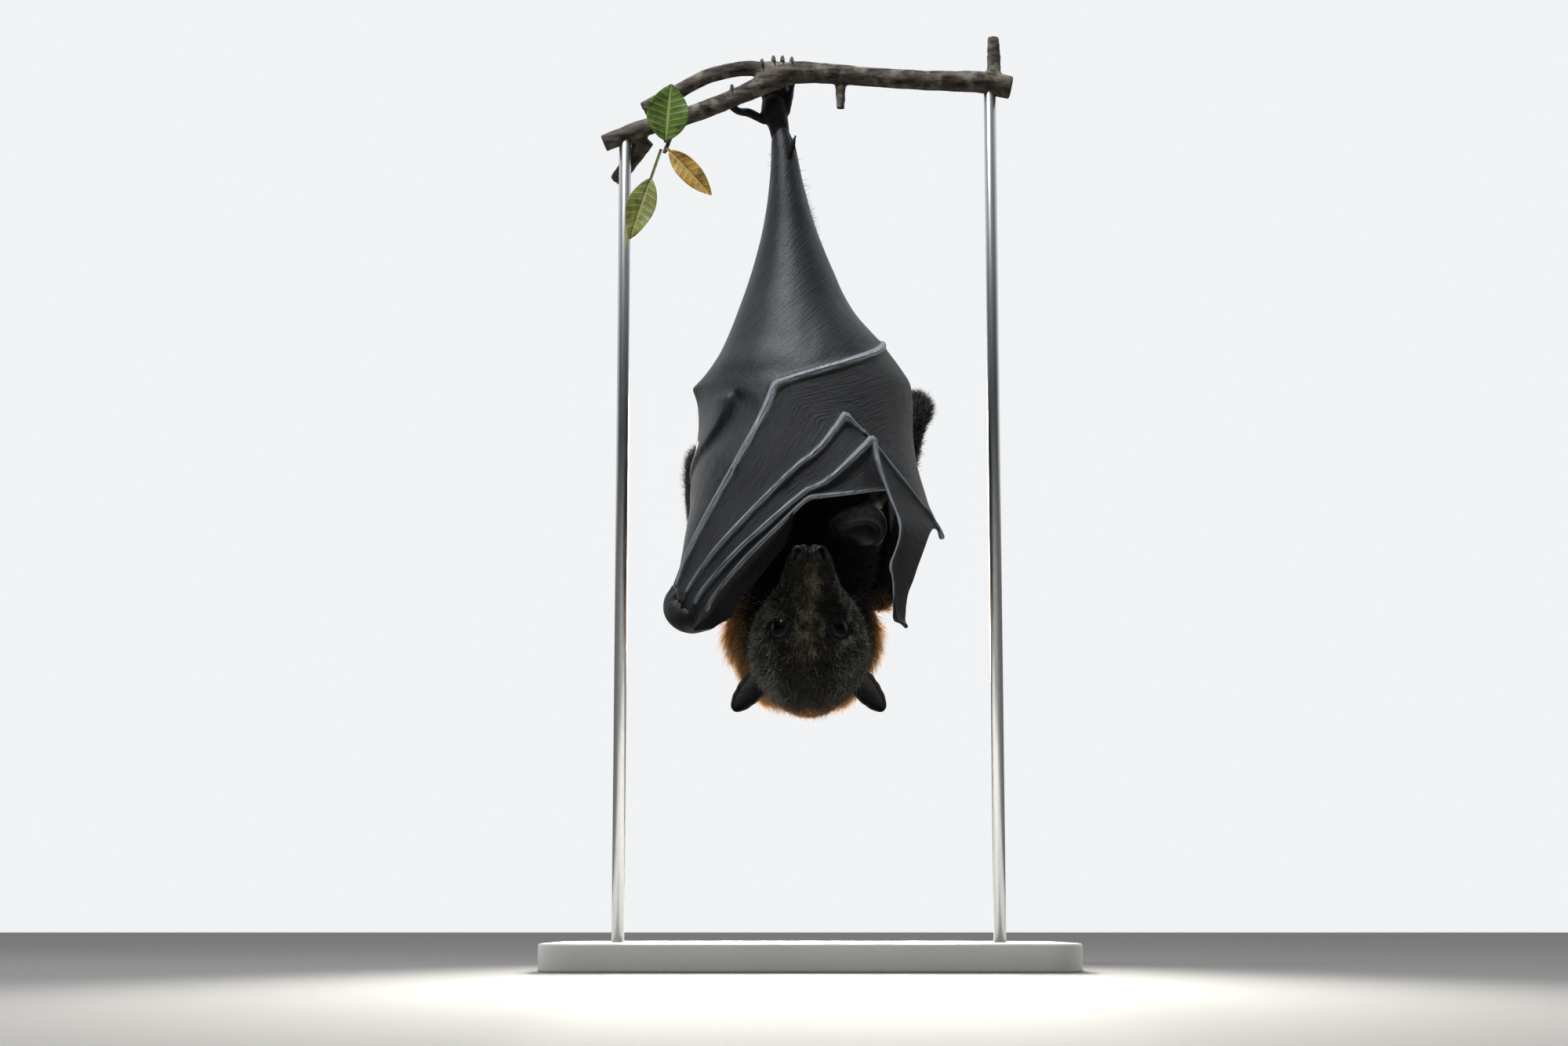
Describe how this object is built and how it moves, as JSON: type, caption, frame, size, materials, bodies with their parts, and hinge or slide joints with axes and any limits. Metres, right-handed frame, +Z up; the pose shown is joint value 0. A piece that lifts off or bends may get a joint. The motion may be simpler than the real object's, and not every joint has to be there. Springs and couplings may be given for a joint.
{
  "type": "roosting fruit bat model",
  "caption": "Life-size fruit bat hanging head down by one foot from a cut branch, wings wrapped round its body, on a flat display stand.",
  "frame": {"origin": "middle of the stand base's underside", "axes": "+Z up, -Y to the viewer (the way the bat's face and belly look), +X to the viewer's right"},
  "size_m": [0.23, 0.15, 0.4332],
  "materials": {
    "wing_skin": "satin, thin bare skin",
    "head_fur": "short dense fur, dark olive grey with pale tips",
    "mantle_fur": "long soft fur, golden orange",
    "body_fur": "long soft fur, dark grey-brown",
    "bare_skin": "matt bare skin",
    "eye": "wet gloss",
    "claw": "polished horn",
    "bark": "rough thin bark",
    "leaf": "satin leaf",
    "base_paint": "satin off-white",
    "steel": "satin"
  },
  "bodies": {
    "root": {"stand_rod_right": "steel", "stand_rod_left": "steel", "stand_base": "base_paint", "perch": "bark", "leaf_round": "leaf", "leaf_yellow": "leaf", "leaf_long": "leaf", "nose": "bare_skin", "eye_right": "eye", "eye_left": "eye", "head": "head_fur", "lower_jaw": "head_fur", "ear_right": "bare_skin", "ear_left": "bare_skin", "trunk": "body_fur", "neck": "mantle_fur", "right_thigh": "body_fur", "right_shank": "body_fur", "right_foot": "bare_skin", "right_upper_arm": "body_fur", "right_forearm": "body_fur", "right_wrist": "wing_skin", "right_thumb": "wing_skin", "left_thigh": "body_fur", "left_shank": "body_fur", "left_foot": "bare_skin", "left_upper_arm": "body_fur", "left_forearm": "body_fur", "left_wrist": "wing_skin", "left_thumb": "wing_skin", "right_toe_1": "bare_skin", "right_toe_1_claw": "claw", "right_toe_2": "bare_skin", "right_toe_2_claw": "claw", "right_toe_3": "bare_skin", "right_toe_3_claw": "claw", "right_toe_4": "bare_skin", "right_toe_4_claw": "claw", "right_toe_5": "bare_skin", "right_toe_5_claw": "claw", "right_finger_2": "wing_skin", "right_finger_3": "wing_skin", "right_finger_4": "wing_skin", "right_finger_5": "wing_skin", "left_finger_3": "wing_skin", "left_finger_4": "wing_skin", "left_finger_5": "wing_skin", "right_arm_membrane": "wing_skin", "right_membrane_5_4": "wing_skin", "right_membrane_4_3": "wing_skin", "right_membrane_tip": "wing_skin", "right_membrane_3_2": "wing_skin", "left_arm_membrane": "wing_skin", "left_membrane_5_4": "wing_skin", "left_membrane_4_3": "wing_skin", "right_thumb_membrane": "wing_skin", "right_front_flap": "wing_skin", "left_front_flap": "wing_skin"}
  },
  "joints": []
}
